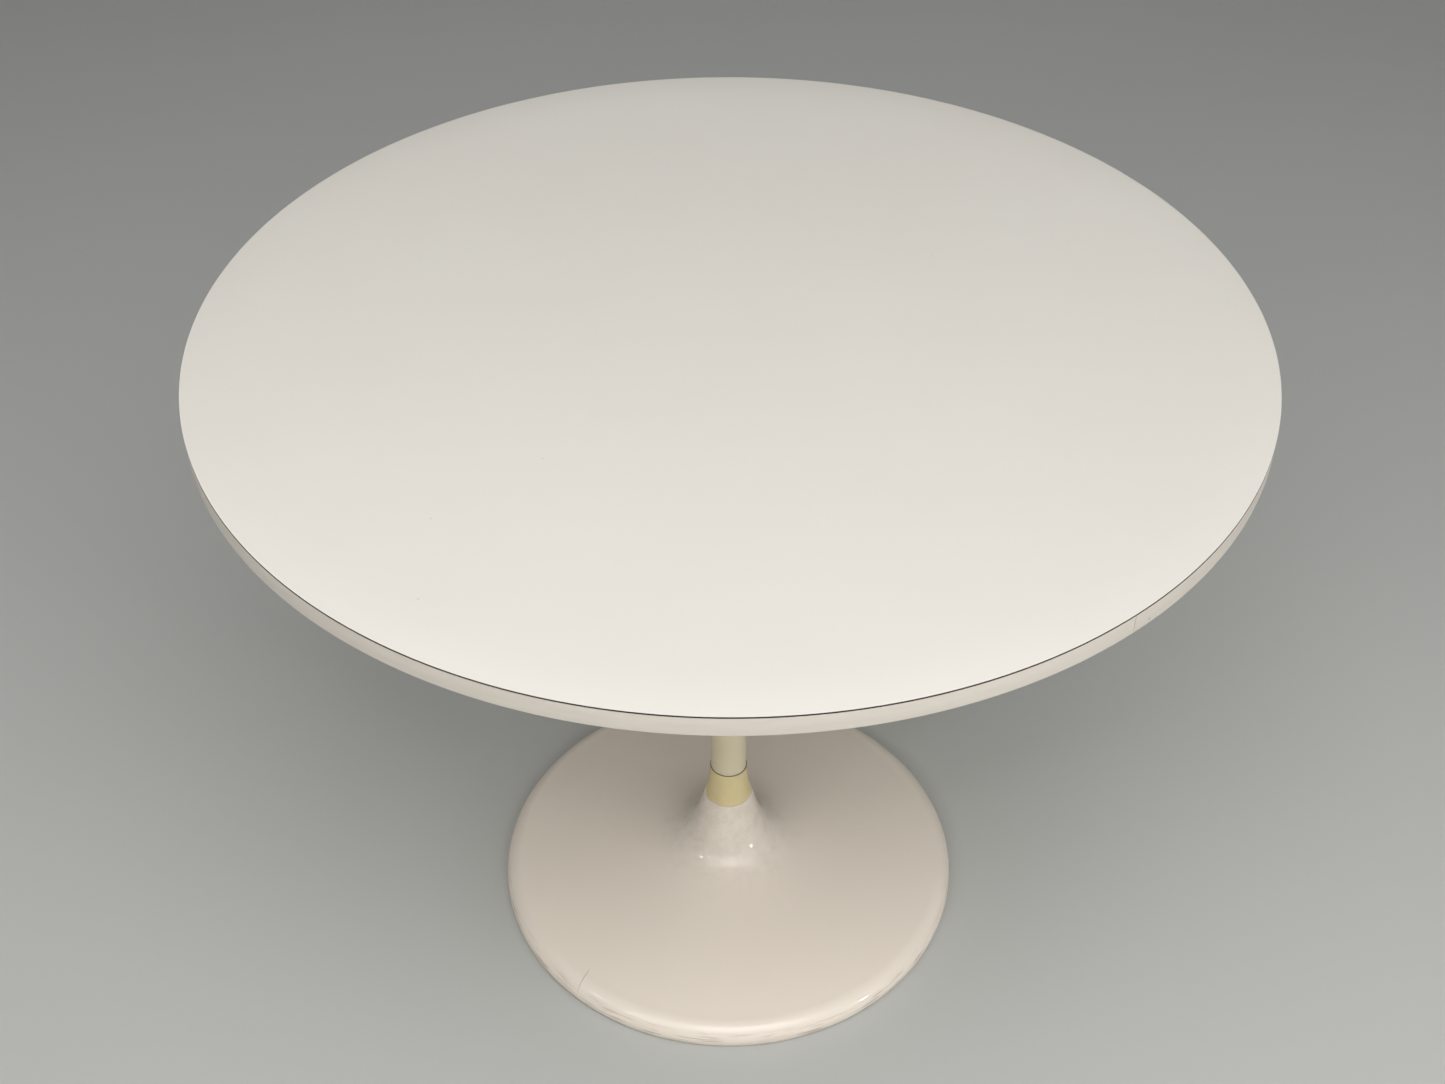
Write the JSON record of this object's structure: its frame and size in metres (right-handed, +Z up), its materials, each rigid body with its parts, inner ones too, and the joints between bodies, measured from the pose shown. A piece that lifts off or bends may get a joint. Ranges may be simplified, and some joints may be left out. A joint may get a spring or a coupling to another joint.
{
  "type": "round pedestal table",
  "caption": "Round laminate-topped table on a slim enamelled tube, with a tapered collar and a wide moulded trumpet base over a cast weight.",
  "frame": {"origin": "on the floor, under the middle of the table", "axes": "+Z up along the column; +X and +Y level, with the spider's arms on the diagonals"},
  "size_m": [0.96, 0.96, 0.732],
  "materials": {
    "white_laminate": "satin high-pressure laminate, slightly warm white",
    "chipboard": "raw pressed chipboard",
    "backing_laminate": "matt balancing laminate",
    "cream_enamel": "semi-gloss stoved enamel on steel",
    "yellowed_plastic": "satin moulded plastic, aged to yellow",
    "white_gelcoat": "glossy gelcoat on moulded glass fibre, lightly worn",
    "white_trim_plastic": "soft moulded strip",
    "cast_iron": "black primed casting",
    "zinc_plated_steel": "bright zinc plate",
    "felt": "pressed wool felt"
  },
  "bodies": {
    "root": {"top_laminate": "white_laminate", "edge_band": "white_laminate", "top_board": "chipboard", "backing_laminate": "backing_laminate", "spider_hub": "cream_enamel", "spider_arm_1": "cream_enamel", "spider_arm_2": "cream_enamel", "spider_arm_3": "cream_enamel", "spider_arm_4": "cream_enamel", "wood_screw_1": "zinc_plated_steel", "wood_screw_2": "zinc_plated_steel", "wood_screw_3": "zinc_plated_steel", "wood_screw_4": "zinc_plated_steel", "wood_screw_5": "zinc_plated_steel", "wood_screw_6": "zinc_plated_steel", "wood_screw_7": "zinc_plated_steel", "wood_screw_8": "zinc_plated_steel", "column_tube": "cream_enamel", "tie_rod": "zinc_plated_steel", "upper_washer": "zinc_plated_steel", "upper_nut": "zinc_plated_steel", "lower_washer": "zinc_plated_steel", "lower_nut": "zinc_plated_steel", "collar": "yellowed_plastic", "base_cover": "white_gelcoat", "rim_trim": "white_trim_plastic", "base_weight": "cast_iron", "felt_pad_1": "felt", "felt_pad_2": "felt", "felt_pad_3": "felt", "felt_pad_4": "felt"}
  },
  "joints": []
}
